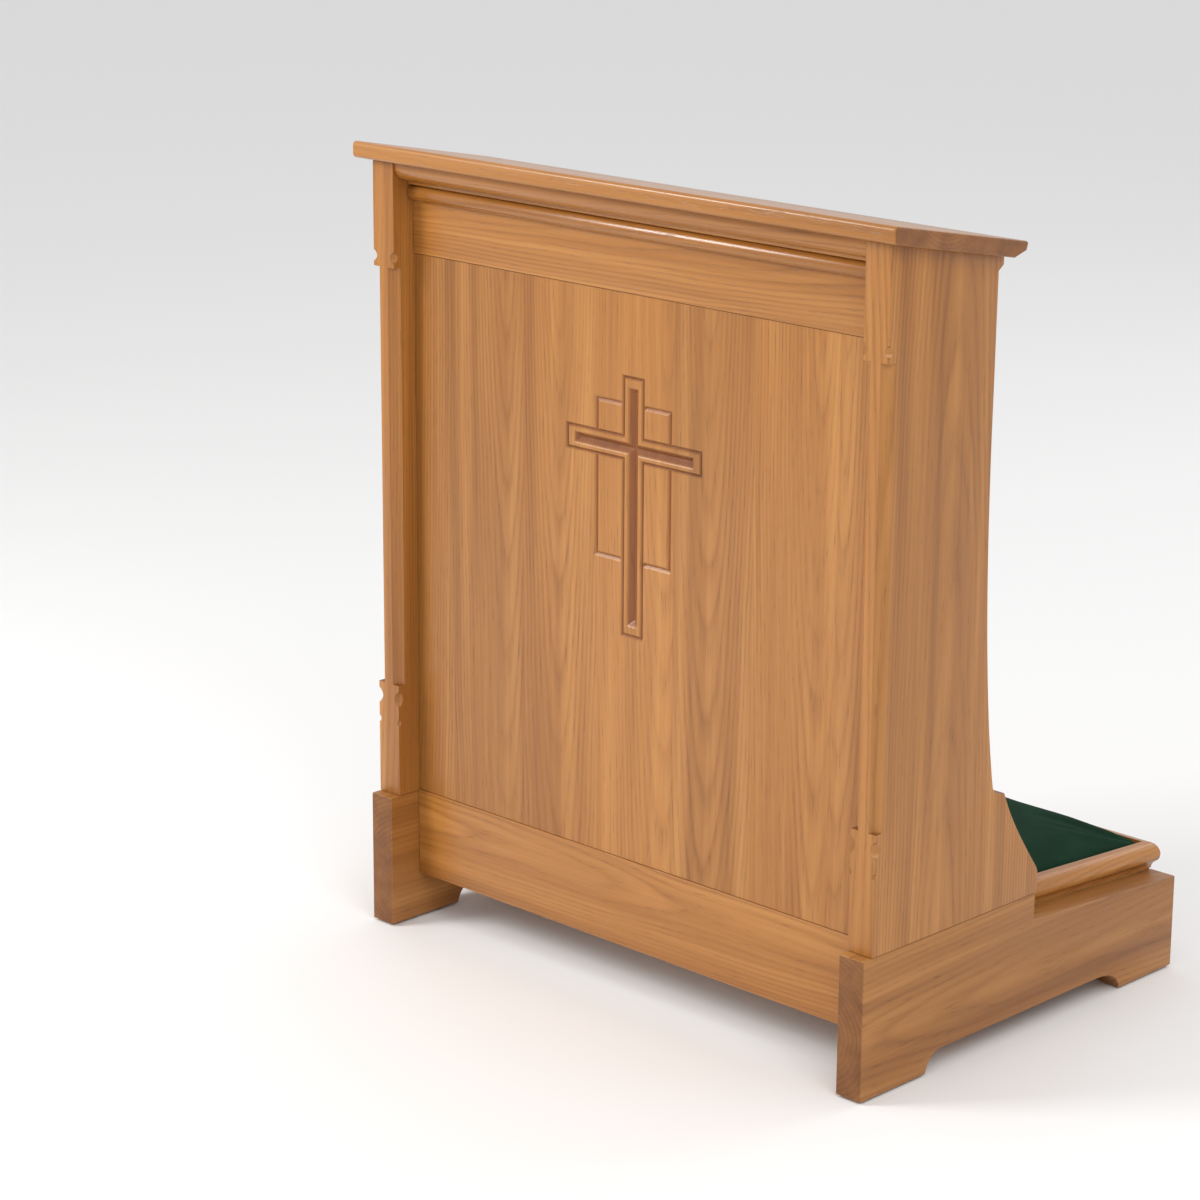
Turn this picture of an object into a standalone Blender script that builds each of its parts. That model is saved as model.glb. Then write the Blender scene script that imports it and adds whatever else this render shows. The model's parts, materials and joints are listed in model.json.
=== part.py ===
"""Oak prie-dieu (prayer kneeler) with a sloping desk, a carved front panel and a padded kneeler.

Metres, +Z up. The front (congregation) side faces -Y and the kneeler is on the +Y side.
The origin is on the floor, at the middle of the object's width and depth.
"""

import math

import bmesh
import bpy
from mathutils import Matrix, Vector

# Overall sizes
WIDTH = 0.740  # over the outer faces of the two uprights
BOARD = 0.033  # thickness of the uprights and foot boards
DESK_FRONT = 0.014  # the desk top's upper front edge, before easing, in front of the uprights
FRONT_REACH = 0.0149  # the foremost point of that edge
BACK_REACH = 0.5328  # from the front of the uprights to the back of the kneeler
GAP = 0.0003  # clearance between touching pieces
FRONT_Y = (FRONT_REACH - BACK_REACH) / 2  # the front face of the uprights
HALF = WIDTH / 2
INNER = HALF - BOARD  # inner face of an upright or foot board

# Desk top
DESK_TOP_Z = 0.906  # upper front edge
DESK_SLOPE = math.atan(0.19)
DESK_THICK = 0.018
DESK_DEPTH = 0.206  # measured level, front to back
DESK_OVERHANG = 0.016  # past each upright

# Uprights
UPRIGHT_DEPTH = 0.165
UPRIGHT_EAR = 0.009  # how far the top corner stands behind the back edge
CHAMFER_TOP_Z = 0.768
CHAMFER_LOW_Z = 0.288
CHAMFER_LEG = 0.010

# Foot boards
FOOT_LIFT = 0.0025  # the glides hold the boards this far off the floor
FOOT_PROUD = 0.013  # in front of the uprights
FOOT_TOP_Z = 0.156
FOOT_STEP_Y = 0.268  # where the board steps down behind the upright
FOOT_BACK_Y = 0.525
FOOT_TOE = 0.104  # length of a bracket foot on the floor
ARCH_Z = 0.0245

# Front frame
RAIL_FACE_Y = 0.029
PANEL_FACE_Y = 0.0305
PANEL_THICK = 0.019
RAIL_THICK = 0.022
BOTTOM_RAIL_Z = (0.056, 0.158)
TOP_RAIL_Z = (0.782, 0.8745)

# Carving on the panel: a Latin cross over a rectangle
CROSS_Z = (0.409, 0.695)
CROSS_BAR_Z = 0.6165
CROSS_SPAN = 0.199
CROSS_STEM_WIDTH = 0.033
CROSS_BAR_HEIGHT = 0.0295
RECT_X = 0.0565
RECT_Z = (0.491, 0.667)
GROOVE_WIDTH = 0.004  # width of the outline channels
STEM_V_DEPTH = 0.0062  # grooves along the middle of the cross
ARM_V_DEPTH = 0.0058

# Kneeler, in its own sloping frame: v is height above the foot boards' sloping tops
KNEELER_SLOPE = math.atan(0.066)
KNEELER_TOP_Z = 0.1255  # height of the foot boards' tops at FOOT_STEP_Y
KNEELER_FRONT_Y = 0.190
NOSING_HEIGHT = 0.031
NOSING_REACH = 0.0065
NOSING_FOOT = 0.022
NOSING_LIP = 0.009
REBATE_V = 0.013
PAD_BOARD = 0.012
PAD_CROWN_V = 0.050

# Inside
SHELF_Z = 0.765
SHELF_THICK = 0.016
SHELF_BACK_Y = 0.158
CLEAT = 0.018
SCREW_SHANK = 0.0021
SCREW_HEAD = 0.0042
SCREW_LENGTH = 0.030
DOWEL_RADIUS = 0.005
DOWEL_LENGTH = 0.050

OAK_FACE = (0.52, 0.27, 0.125, 1.0)
OAK_LIGHT = (0.60, 0.34, 0.17, 1.0)
OAK_PANEL = (0.50, 0.25, 0.105, 1.0)
OAK_RAW = (0.62, 0.42, 0.25, 1.0)
PLY = (0.60, 0.43, 0.27, 1.0)
GREEN = (0.010, 0.036, 0.020, 1.0)
STEEL = (0.55, 0.50, 0.36, 1.0)
NYLON = (0.55, 0.52, 0.47, 1.0)

for old in list(bpy.data.objects):
    bpy.data.objects.remove(old, do_unlink=True)

scene = bpy.context.scene
parts = bpy.data.collections.new("prie_dieu")
cutters = bpy.data.collections.new("cutters")
scene.collection.children.link(parts)
scene.collection.children.link(cutters)


def empty(name, location, rotation=(0.0, 0.0, 0.0), parent=None):
    """A reference frame that pieces are placed in."""
    frame = bpy.data.objects.new(name, None)
    parts.objects.link(frame)
    frame.location = location
    frame.rotation_euler = rotation
    frame.parent = parent
    return frame


body = empty("body_frame", (0.0, FRONT_Y, 0.0))
kneeler = empty(
    "kneeler_frame", (0.0, FOOT_STEP_Y, KNEELER_TOP_Z), (-KNEELER_SLOPE, 0.0, 0.0), body
)
desk = empty("desk_frame", (0.0, -DESK_FRONT, DESK_TOP_Z), (-DESK_SLOPE, 0.0, 0.0), body)

ALONG_X = (math.pi / 2, 0.0, math.pi / 2)  # local x, y, z become y, z, x
ALONG_Y = (math.pi / 2, 0.0, 0.0)  # local x, y, z become x, z, -y


def material(name, colour, roughness, metallic=0.0):
    """A Principled material of one colour."""
    made = bpy.data.materials.new(name)
    made.use_nodes = True
    shader = made.node_tree.nodes["Principled BSDF"]
    shader.inputs["Base Color"].default_value = colour
    shader.inputs["Roughness"].default_value = roughness
    shader.inputs["Metallic"].default_value = metallic
    made.diffuse_color = colour
    return made


def add(name, mesh, parent, look=None, location=(0, 0, 0), rotation=(0, 0, 0)):
    """Links a mesh as a named piece, or as a cutter when it has no look."""
    piece = bpy.data.objects.new(name, mesh)
    if look:
        parts.objects.link(piece)
        mesh.materials.clear()
        mesh.materials.append(material(name + "_finish", *look))
    else:
        cutters.objects.link(piece)
        piece.hide_render = True
        piece.display_type = "WIRE"
    piece.parent = parent
    piece.location = location
    piece.rotation_euler = rotation
    return piece


def box(name, low, high, parent, look=None, rotation=(0, 0, 0)):
    """A box between two corners; a rotation turns it about its own centre."""
    low, high = Vector(low), Vector(high)
    bm = bmesh.new()
    bmesh.ops.create_cube(bm, size=1.0)
    bmesh.ops.scale(bm, vec=high - low, verts=bm.verts)
    mesh = bpy.data.meshes.new(name)
    bm.to_mesh(mesh)
    bm.free()
    return add(name, mesh, parent, look, (low + high) / 2, rotation)


def rod(name, radius, length, parent, look=None, location=(0, 0, 0), rotation=(0, 0, 0), sides=16):
    """A cylinder along its own z axis."""
    bm = bmesh.new()
    bmesh.ops.create_cone(
        bm, cap_ends=True, segments=sides, radius1=radius, radius2=radius, depth=length
    )
    mesh = bpy.data.meshes.new(name)
    bm.to_mesh(mesh)
    bm.free()
    return add(name, mesh, parent, look, location, rotation)


def prism(name, outline, length, parent, look=None, location=(0, 0, 0), rotation=ALONG_X, hole=()):
    """A closed outline, less a hole, extruded by length about its plane from a filled 2D curve."""
    flat = bpy.data.curves.new(name, "CURVE")
    flat.dimensions = "2D"
    flat.fill_mode = "BOTH"
    flat.extrude = length / 2
    for loop in filter(None, (outline, hole)):
        line = flat.splines.new("POLY")
        line.points.add(len(loop) - 1)
        for point, (x, y) in zip(line.points, loop):
            point.co = (x, y, 0.0, 1.0)
        line.use_cyclic_u = True
    sketch = bpy.data.objects.new(name + "_sketch", flat)
    scene.collection.objects.link(sketch)
    bpy.context.view_layer.update()
    mesh = bpy.data.meshes.new_from_object(
        sketch.evaluated_get(bpy.context.evaluated_depsgraph_get())
    )
    bpy.data.objects.remove(sketch, do_unlink=True)
    bm = bmesh.new()
    bm.from_mesh(mesh)
    bmesh.ops.remove_doubles(bm, verts=bm.verts, dist=0.00002)
    bmesh.ops.recalc_face_normals(bm, faces=bm.faces)
    bm.to_mesh(mesh)
    bm.free()
    mesh.name = name
    return add(name, mesh, parent, look, location, rotation)


def cut(piece, *tools):
    """Takes each tool's shape out of a piece."""
    for tool in tools:
        modifier = piece.modifiers.new(tool.name, "BOOLEAN")
        modifier.operation = "DIFFERENCE"
        modifier.solver = "EXACT"
        modifier.object = tool


def bezier(p0, p1, p2, p3, steps):
    """Points on a cubic curve, without its last one."""
    p0, p1, p2, p3 = map(Vector, (p0, p1, p2, p3))
    found = []
    for i in range(steps):
        t = i / steps
        u = 1.0 - t
        found.append(tuple(u**3 * p0 + 3 * u * u * t * p1 + 3 * u * t * t * p2 + t**3 * p3))
    return found


def arc(centre, radius, start, end, steps):
    """Points on an arc, angles in degrees, both ends included."""
    return [
        (
            centre[0] + radius * math.cos(math.radians(start + (end - start) * i / steps)),
            centre[1] + radius * math.sin(math.radians(start + (end - start) * i / steps)),
        )
        for i in range(steps + 1)
    ]


def ease(piece, width, segments=2):
    """Rounds a piece's edges."""
    modifier = piece.modifiers.new("eased_edges", "BEVEL")
    modifier.width = width
    modifier.segments = segments
    modifier.limit_method = "ANGLE"
    modifier.angle_limit = math.radians(40)
    return modifier


def desk_under_z(y):
    """Height of the desk top's underside at a distance behind the uprights' front."""
    level_thick = DESK_THICK / math.cos(DESK_SLOPE)
    return DESK_TOP_Z - (y + DESK_FRONT) * math.tan(DESK_SLOPE) - level_thick


# ---------------------------------------------------------------- foot boards
def foot_outline():
    """Side view of a foot board: two bracket feet, an arch, and a step behind the upright."""
    toe_front = FOOT_TOE - FOOT_PROUD
    toe_back = FOOT_BACK_Y - 0.097
    step_drop = KNEELER_TOP_Z
    back_z = KNEELER_TOP_Z - (FOOT_BACK_Y - FOOT_STEP_Y) * math.tan(KNEELER_SLOPE)
    points = [(-FOOT_PROUD, FOOT_LIFT), (-FOOT_PROUD, FOOT_TOP_Z - 0.004)]
    points += [(-FOOT_PROUD + 0.0012, FOOT_TOP_Z - 0.0012), (-FOOT_PROUD + 0.004, FOOT_TOP_Z)]
    points += [(FOOT_STEP_Y, FOOT_TOP_Z), (FOOT_STEP_Y, step_drop), (FOOT_BACK_Y, back_z)]
    points += [(FOOT_BACK_Y, FOOT_LIFT), (toe_back, FOOT_LIFT)]
    points += bezier(
        (toe_back - 0.001, FOOT_LIFT + 0.004),
        (toe_back - 0.006, ARCH_Z - 0.006),
        (toe_back - 0.020, ARCH_Z),
        (toe_back - 0.042, ARCH_Z),
        6,
    )
    points += [(toe_back - 0.042, ARCH_Z), (toe_front + 0.032, ARCH_Z)]
    points += bezier(
        (toe_front + 0.026, ARCH_Z),
        (toe_front + 0.014, ARCH_Z - 0.001),
        (toe_front + 0.006, ARCH_Z - 0.007),
        (toe_front + 0.002, FOOT_LIFT + 0.005),
        6,
    )
    points.append((toe_front, FOOT_LIFT))
    return points


# ---------------------------------------------------------------- uprights
def upright_outline():
    """Side view of an upright: sloping head with a back ear, and a flared foot with a cusp."""
    ear_y = UPRIGHT_DEPTH + UPRIGHT_EAR
    base = FOOT_TOP_Z + GAP
    points = [(0.0, base), (0.0, desk_under_z(0.0) - GAP), (ear_y, desk_under_z(ear_y) - GAP)]
    points += [(ear_y, 0.8435), (UPRIGHT_DEPTH + 0.0012, 0.838)]
    points += bezier(
        (UPRIGHT_DEPTH, 0.700), (UPRIGHT_DEPTH - 0.002, 0.560), (0.168, 0.400), (0.188, 0.294), 10
    )
    points += bezier((0.188, 0.294), (0.190, 0.286), (0.196, 0.284), (0.208, 0.283), 3)
    points += bezier((0.208, 0.283), (0.220, 0.252), (0.240, 0.224), (0.268, 0.186), 7)
    points += [(0.2705, 0.178), (0.271, 0.170), (0.269, 0.160), (0.268, base)]
    return points


def chamfer_tools(side_name, edge_x, outward):
    """The cuts of one stopped chamfer: the long flat, and the scooped stops at its ends."""
    turn = (0.0, 0.0, math.radians(45))
    reach = CHAMFER_LEG * math.sqrt(2)
    tag = side_name + ("_outer" if outward else "_inner")
    flat = box(
        tag + "_chamfer",
        (edge_x - reach / 2, -reach / 2, CHAMFER_LOW_Z),
        (edge_x + reach / 2, reach / 2, CHAMFER_TOP_Z),
        body,
        None,
        turn,
    )
    into = -1.0 if edge_x * (1 if outward else -1) > 0 else 1.0
    across = math.radians(-45 if into < 0 else 45)
    tools = [flat]
    for mark, z, radius, depth in (
        ("top_scoop", CHAMFER_TOP_Z + 0.0115, 0.0075, 0.0042),
        ("low_scoop", CHAMFER_LOW_Z - 0.0165, 0.012, 0.0048),
        ("low_nick", CHAMFER_LOW_Z - 0.0450, 0.0055, 0.0024),
    ):
        offset = (radius - depth) / math.sqrt(2)
        tools.append(
            rod(
                f"{tag}_{mark}",
                radius,
                0.040,
                body,
                None,
                (edge_x - into * offset, -offset, z),
                (math.radians(90), 0.0, across),
                20,
            )
        )
    return tools


OAK_SIDE_LOOK = (OAK_FACE, 0.34)
OAK_LIGHT_LOOK = (OAK_LIGHT, 0.33)
OAK_INSIDE_LOOK = (OAK_RAW, 0.5)

for side, sign in (("left", -1), ("right", 1)):
    centre_x = sign * (HALF - BOARD / 2)
    foot = prism(f"{side}_foot_board", foot_outline(), BOARD, body, OAK_SIDE_LOOK, (centre_x, 0, 0))
    post = prism(f"{side}_upright", upright_outline(), BOARD, body, OAK_SIDE_LOOK, (centre_x, 0, 0))
    for outward in (True, False):
        cut(post, *chamfer_tools(side, sign * (HALF if outward else INNER), outward))
    for index, y in enumerate((0.045, 0.205), start=1):
        place = (centre_x, y, FOOT_TOP_Z)
        rod(f"{side}_dowel_{index}", DOWEL_RADIUS, DOWEL_LENGTH, body, (OAK_RAW, 0.6), place)
        hole = rod(
            f"{side}_dowel_hole_{index}",
            DOWEL_RADIUS + GAP,
            DOWEL_LENGTH + 0.002,
            body,
            None,
            place,
        )
        cut(foot, hole)
        cut(post, hole)
    for index, y in enumerate((-FOOT_PROUD + 0.050, FOOT_BACK_Y - 0.048), start=1):
        rod(
            f"{side}_glide_{index}",
            0.011,
            FOOT_LIFT - GAP,
            body,
            (NYLON, 0.6),
            (centre_x, y, (FOOT_LIFT - GAP) / 2),
            sides=24,
        )


# ---------------------------------------------------------------- front frame and carved panel
span = INNER - GAP
box(
    "bottom_rail",
    (-span, RAIL_FACE_Y, BOTTOM_RAIL_Z[0]),
    (span, RAIL_FACE_Y + RAIL_THICK, BOTTOM_RAIL_Z[1] - GAP),
    body,
    (OAK_PANEL, 0.36),
)
box(
    "top_rail",
    (-span, RAIL_FACE_Y, TOP_RAIL_Z[0] + GAP),
    (span, RAIL_FACE_Y + RAIL_THICK, TOP_RAIL_Z[1]),
    body,
    (OAK_PANEL, 0.36),
)
panel = box(
    "front_panel",
    (-span, PANEL_FACE_Y, BOTTOM_RAIL_Z[1]),
    (span, PANEL_FACE_Y + PANEL_THICK, TOP_RAIL_Z[0]),
    body,
    (OAK_PANEL, 0.36),
)


def cross_outline(drawn_in):
    """The twelve corners of the cross as (x, z), drawn in from its edge by a distance."""
    stem = CROSS_STEM_WIDTH / 2 - drawn_in
    arm = CROSS_SPAN / 2 - drawn_in
    high = CROSS_BAR_Z + CROSS_BAR_HEIGHT / 2 - drawn_in
    low = CROSS_BAR_Z - CROSS_BAR_HEIGHT / 2 + drawn_in
    half = [(stem, CROSS_Z[1] - drawn_in), (stem, high), (arm, high)]
    half += [(arm, low), (stem, low), (stem, CROSS_Z[0] + drawn_in)]
    return half + [(-x, z) for x, z in reversed(half)]


def carve(name, outline, depth, hole=()):
    """A channel of an outline's shape in the panel's face."""
    return prism(name, outline, 2 * depth, body, None, (0, PANEL_FACE_Y, 0), ALONG_Y, hole)


def frame_corner(side, edge_z, bar_z):
    """One corner of the rectangle behind the cross: an L from the stem round to the arm."""
    toward = GROOVE_WIDTH if edge_z > bar_z else -GROOVE_WIDTH
    start = side * (CROSS_STEM_WIDTH / 2 - GROOVE_WIDTH / 2)
    outer, inner = side * RECT_X, side * (RECT_X - GROOVE_WIDTH)
    corner = [(start, edge_z), (outer, edge_z), (outer, bar_z - toward / 2)]
    corner += [(inner, bar_z - toward / 2), (inner, edge_z - toward), (start, edge_z - toward)]
    return corner


edge_channel = carve("cross_edge", cross_outline(0.0), 0.0022, cross_outline(GROOVE_WIDTH))
cut(panel, edge_channel)
for side, sign in (("left", -1), ("right", 1)):
    for place, edge_z, reach in (("above", RECT_Z[1], 1), ("below", RECT_Z[0], -1)):
        bar_z = CROSS_BAR_Z + reach * CROSS_BAR_HEIGHT / 2
        corner = carve(f"frame_{side}_{place}", frame_corner(sign, edge_z, bar_z), 0.0018)
        cut(panel, corner)

INSET = 0.0125  # the middle grooves stop this far from the ends of the cross
stem_side = STEM_V_DEPTH * math.sqrt(2) / 2
arm_side = ARM_V_DEPTH * math.sqrt(2) / 2
stem_v = box(
    "stem_v",
    (-stem_side, PANEL_FACE_Y - stem_side, CROSS_Z[0] + INSET),
    (stem_side, PANEL_FACE_Y + stem_side, CROSS_Z[1] - INSET),
    body,
    None,
    (0, 0, math.radians(45)),
)
arm_v = box(
    "arm_v",
    (INSET - CROSS_SPAN / 2, PANEL_FACE_Y - arm_side, CROSS_BAR_Z - arm_side),
    (CROSS_SPAN / 2 - INSET, PANEL_FACE_Y + arm_side, CROSS_BAR_Z + arm_side),
    body,
    None,
    (math.radians(45), 0, 0),
)
cut(panel, stem_v, arm_v)

for side, sign in (("left", -1), ("right", 1)):
    inner, outer = sorted((sign * (span - CLEAT), sign * span))
    back_y = PANEL_FACE_Y + PANEL_THICK + GAP
    box(
        f"panel_{side}_batten",
        (inner, back_y, BOTTOM_RAIL_Z[1] + 0.012),
        (outer, back_y + CLEAT, SHELF_Z - SHELF_THICK - CLEAT - 0.010),
        body,
        OAK_INSIDE_LOOK,
    )

# Crown: a quarter round under the desk's front edge, then a half-round bead on the rail
crown = [(y, desk_under_z(y) - GAP) for y in (RAIL_FACE_Y - GAP, 0.002)]
crown += bezier((0.002, 0.8800), (0.0025, 0.871), (0.009, 0.8645), (0.0195, 0.8635), 7)
crown += [(0.0195, 0.8635), (0.0195, 0.8605), (0.0235, 0.8590), (RAIL_FACE_Y - GAP, 0.8590)]
prism("crown_moulding", crown, 2 * span, body, OAK_LIGHT_LOOK)
bead = arc((RAIL_FACE_Y - GAP, 0.8495), 0.0085, 90, 270, 10)
prism("crown_bead", bead, 2 * span, body, OAK_LIGHT_LOOK)

# ---------------------------------------------------------------- desk top and shelf
slope_depth = DESK_DEPTH / math.cos(DESK_SLOPE)
nose = 0.0045
desk_outline = arc((nose, -nose), nose, 90, 180, 3)
plumb = (DESK_THICK - 2 * nose) * math.tan(DESK_SLOPE)  # keeps the front edge upright
desk_outline += arc((nose + plumb, -DESK_THICK + nose), nose, 180, 270, 3)
desk_outline += [(slope_depth - 0.018, -DESK_THICK), (slope_depth - 0.001, -DESK_THICK + 0.0085)]
desk_outline += arc((slope_depth - 0.003, -0.003), 0.003, 0, 90, 3)
prism("desk_top", desk_outline, WIDTH + 2 * DESK_OVERHANG, desk, OAK_LIGHT_LOOK)


def screw(name, head_at, direction, through, into):
    """A countersunk wood screw, with its hole in both pieces that it joins."""
    head_at, direction = Vector(head_at), Vector(direction).normalized()
    turn = direction.to_track_quat("Z", "Y").to_euler()
    made = []
    for grown in (0.0, GAP):
        head = 0.0030
        low = -0.0006 if grown else 0.0
        rings = [
            (SCREW_HEAD + grown, low),
            (SCREW_HEAD + grown, 0.0005 + grown),
            (SCREW_SHANK + grown, head + grown),
            (SCREW_SHANK + grown, SCREW_LENGTH - 0.006),
            (0.0006 + grown, SCREW_LENGTH + grown),
        ]
        profile = [(0.0, rings[-1][1])] + [(r, z) for r, z in reversed(rings)] + [(0.0, low)]
        mesh = bpy.data.meshes.new(name)
        mesh.from_pydata([(r, 0.0, z) for r, z in profile], [(i, i + 1) for i in range(6)], [])
        title = name if not grown else name + "_hole"
        look = (STEEL, 0.35, 0.9) if not grown else None
        piece = add(title, mesh, body, look, head_at, turn)
        spin = piece.modifiers.new("turned", "SCREW")
        spin.steps = 12
        spin.render_steps = 12
        spin.use_merge_vertices = True
        spin.merge_threshold = 0.00005
        made.append(piece)
    cut(through, made[1])
    cut(into, made[1])


def piece_named(name):
    """A piece that was made earlier."""
    return bpy.data.objects[name]


shelf_front_y = PANEL_FACE_Y + PANEL_THICK + 0.003
shelf = box(
    "book_shelf",
    (-span, shelf_front_y, SHELF_Z - SHELF_THICK),
    (span, SHELF_BACK_Y, SHELF_Z),
    body,
    (OAK_FACE, 0.4),
)
ease(shelf, 0.002)
ledge = box(
    "shelf_ledge",
    (-span, SHELF_BACK_Y - 0.016, SHELF_Z + GAP),
    (span, SHELF_BACK_Y - 0.004, SHELF_Z + 0.012),
    body,
    (OAK_FACE, 0.4),
)
ease(ledge, 0.002)
apron = box(
    "desk_rear_apron",
    (-span, 0.142, desk_under_z(0.160) - 0.034),
    (span, 0.160, desk_under_z(0.160) - GAP),
    body,
    (OAK_FACE, 0.38),
)
ease(apron, 0.0015)

for side, sign in (("left", -1), ("right", 1)):
    post = piece_named(f"{side}_upright")
    near, far = sorted((sign * (span - CLEAT), sign * span))
    cleat = box(
        f"shelf_{side}_cleat",
        (near, shelf_front_y + 0.008, SHELF_Z - SHELF_THICK - CLEAT),
        (far, SHELF_BACK_Y - 0.012, SHELF_Z - SHELF_THICK - GAP),
        body,
        OAK_INSIDE_LOOK,
    )
    cleat_z = SHELF_Z - SHELF_THICK - CLEAT / 2
    for index, y in enumerate((0.076, 0.126), start=1):
        screw(
            f"shelf_{side}_screw_{index}",
            (sign * (span - CLEAT), y, cleat_z),
            (sign, 0, 0),
            cleat,
            post,
        )
    # A wedge-topped cleat follows the desk's slope
    start_y, end_y = RAIL_FACE_Y + RAIL_THICK + 0.004, 0.138
    wedge = [(start_y, desk_under_z(start_y) - 0.022), (end_y, desk_under_z(end_y) - 0.022)]
    wedge += [(end_y, desk_under_z(end_y) - GAP), (start_y, desk_under_z(start_y) - GAP)]
    block = prism(
        f"desk_{side}_cleat",
        wedge,
        CLEAT,
        body,
        OAK_INSIDE_LOOK,
        (sign * (span - CLEAT / 2), 0, 0),
    )
    for index, y in enumerate((0.078, 0.116), start=1):
        screw(
            f"desk_{side}_screw_{index}",
            (sign * (span - CLEAT), y, desk_under_z(y) - 0.011),
            (sign, 0, 0),
            block,
            post,
        )

# ---------------------------------------------------------------- kneeler
slope_back = (FOOT_BACK_Y - FOOT_STEP_Y) / math.cos(KNEELER_SLOPE)
slope_front = (KNEELER_FRONT_Y - FOOT_STEP_Y) / math.cos(KNEELER_SLOPE)
low_v = 0.0012


def nosing_profile():
    """Section of the moulded edge: distance out from the foot board's inner plane, and height."""
    points = [(-NOSING_FOOT, low_v), (0.0, low_v)]
    points += bezier((0.0, 0.0025), (0.0003, 0.0070), (0.0030, 0.0090), (0.0050, 0.0105), 4)
    points += bezier((0.0050, 0.0105), (0.0072, 0.0140), (0.0072, 0.0200), (0.0050, 0.0240), 5)
    points += bezier((0.0050, 0.0240), (0.0030, 0.0280), (0.0005, 0.0305), (-0.0030, 0.0310), 4)
    points += [(-0.0030, NOSING_HEIGHT), (-NOSING_LIP, NOSING_HEIGHT)]
    points += [(-NOSING_LIP, REBATE_V), (-NOSING_FOOT, REBATE_V)]
    return points


def mitre(name, corner_x, side):
    """A large block whose one face lies on the mitre plane at a back corner."""
    reach = 0.080
    turned = math.radians(45) * side
    made = box(name, (-reach, 0.0, -0.050), (reach, 2 * reach, 0.080), kneeler)
    made.location = (corner_x, slope_back, 0.015)
    made.rotation_euler = (0.0, 0.0, turned)
    return made


section = nosing_profile()
run = slope_back + NOSING_REACH + 0.004 - slope_front
rear = prism(
    "nosing_rear",
    [(x + slope_back, z) for x, z in section],
    2 * (INNER + NOSING_REACH + 0.004),
    kneeler,
    OAK_LIGHT_LOOK,
)
for side, sign in (("left", -1), ("right", 1)):
    strip = prism(
        f"nosing_{side}",
        [(sign * x, z) for x, z in section][:: sign],
        run,
        kneeler,
        OAK_LIGHT_LOOK,
        (sign * INNER, slope_front + run / 2, 0),
        ALONG_Y,
    )
    # The blocks meet on the mitre line; each is set back by half the gap
    for target, offset, flip in ((strip, -GAP / 2, 0), (rear, GAP / 2, 180)):
        block = mitre(f"mitre_{side}_{flip}", 0.0, 1)
        block.rotation_euler = (0.0, 0.0, math.radians(45 * sign + flip))
        block.location = (sign * INNER, slope_back, 0.015)
        normal = Vector((-math.sin(math.radians(45 * sign)), math.cos(math.radians(45 * sign)), 0))
        block.location += normal * offset
        for vertex in block.data.vertices:
            vertex.co.y += 0.080
        cut(target, block)
    clear = box(
        f"scribe_{side}",
        (min(sign * span, sign * 0.360), slope_front - 0.01, -0.01),
        (max(sign * span, sign * 0.360), 0.0045, 0.06),
        kneeler,
    )
    cut(strip, clear)

lip_x = INNER - NOSING_LIP - GAP
lip_y = slope_back - NOSING_LIP - GAP
box(
    "pad_board",
    (-lip_x, slope_front + GAP, REBATE_V + GAP),
    (lip_x, lip_y, REBATE_V + PAD_BOARD),
    kneeler,
    (PLY, 0.6),
)


def cushion():
    """A crowned pad: a coarse cage with its top ring drawn in, rounded by subdivision."""
    low = REBATE_V + PAD_BOARD + GAP
    bm = bmesh.new()
    bmesh.ops.create_cube(bm, size=1.0)
    size = Vector((2 * lip_x - 0.0006, lip_y - slope_front - 0.0009, PAD_CROWN_V - low))
    centre = Vector((0.0, (lip_y + slope_front) / 2, (PAD_CROWN_V + low) / 2))
    bmesh.ops.subdivide_edges(bm, edges=bm.edges, cuts=6, use_grid_fill=True)
    for vertex in bm.verts:
        x, y, z = vertex.co
        if z > -0.499:
            edge = max(0.0, 1.0 - (abs(2 * x)) ** 6) * max(0.0, 1.0 - (abs(2 * y)) ** 4)
            rise = 0.22 + 0.78 * edge**0.5
            vertex.co.z = -0.5 + (z + 0.5) * rise
        vertex.co.x *= size.x
        vertex.co.y *= size.y
        vertex.co.z *= size.z
        vertex.co += centre
    mesh = bpy.data.meshes.new("kneeler_pad")
    bm.to_mesh(mesh)
    bm.free()
    return mesh


add("kneeler_pad", cushion(), kneeler, (GREEN, 0.9))

# Supports under the pad board, all level with the foot boards' sloping tops
for side, sign in (("left", -1), ("right", 1)):
    near, far = sorted((sign * (span - 0.020), sign * span))
    box(
        f"kneeler_{side}_cleat",
        (near, slope_front + 0.024, -0.028),
        (far, slope_back - 0.024, low_v - GAP),
        kneeler,
        OAK_INSIDE_LOOK,
    )
box(
    "kneeler_centre_bearer",
    (-0.011, slope_front + 0.024, -0.045),
    (0.011, slope_back - 0.024, REBATE_V),
    kneeler,
    OAK_INSIDE_LOOK,
)
front_rail = box(
    "kneeler_front_rail",
    (-span, slope_front - 0.020 - GAP, -0.060),
    (span, slope_front - GAP, NOSING_HEIGHT),
    kneeler,
    (OAK_FACE, 0.36),
)
ease(front_rail, 0.002)
rear_rail = box(
    "kneeler_rear_rail",
    (-span, slope_back - 0.021, -0.072),
    (span, slope_back - 0.001, low_v - GAP),
    kneeler,
    (OAK_FACE, 0.36),
)
ease(rear_rail, 0.002)

for piece in parts.objects:
    if piece.type == "MESH" and ("screw" in piece.name or "dowel" in piece.name or "glide" in piece.name):
        piece.data.shade_smooth()
        piece.data.set_sharp_from_angle(angle=math.radians(35))
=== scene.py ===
"""Oak prie-dieu: detailed boards and mouldings with solid oak materials, and a simulated pad."""

import json
import math

import bmesh
import bpy
from mathutils import Matrix, Quaternion, Vector


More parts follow.
